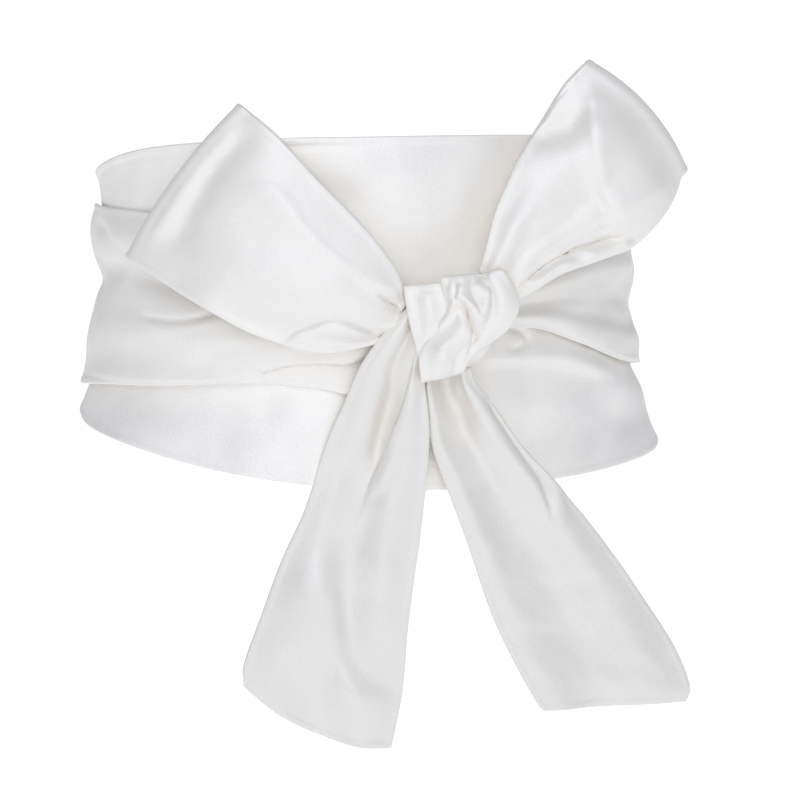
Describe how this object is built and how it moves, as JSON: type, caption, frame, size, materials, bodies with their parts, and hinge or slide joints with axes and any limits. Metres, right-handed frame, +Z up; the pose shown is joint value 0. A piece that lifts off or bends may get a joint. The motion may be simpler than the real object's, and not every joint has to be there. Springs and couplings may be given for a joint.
{
  "type": "worn satin wrap sash tied in a bow",
  "caption": "White satin wrap sash in its worn, hollow form: a wide tapered front panel, ties crossed behind and brought forward, and a front bow with loops and hanging tails.",
  "frame": {"origin": "on the waist's vertical axis, half way up the front panel", "axes": "+Z up along the waist's axis, -Y towards the front, +X to the right of a viewer who stands in front"},
  "size_m": [0.284, 0.2431, 0.3094],
  "materials": {
    "panel_satin": "white polyester satin, soft sheen",
    "tie_satin": "white polyester satin, soft sheen",
    "bow_satin": "white polyester satin, soft sheen"
  },
  "bodies": {
    "root": {"front_panel": "panel_satin", "tie_left": "tie_satin", "tie_right": "tie_satin", "loop_left": "bow_satin", "loop_right": "bow_satin", "tail_left": "bow_satin", "tail_right": "bow_satin", "knot_band": "bow_satin", "knot_core": "bow_satin"}
  },
  "joints": []
}
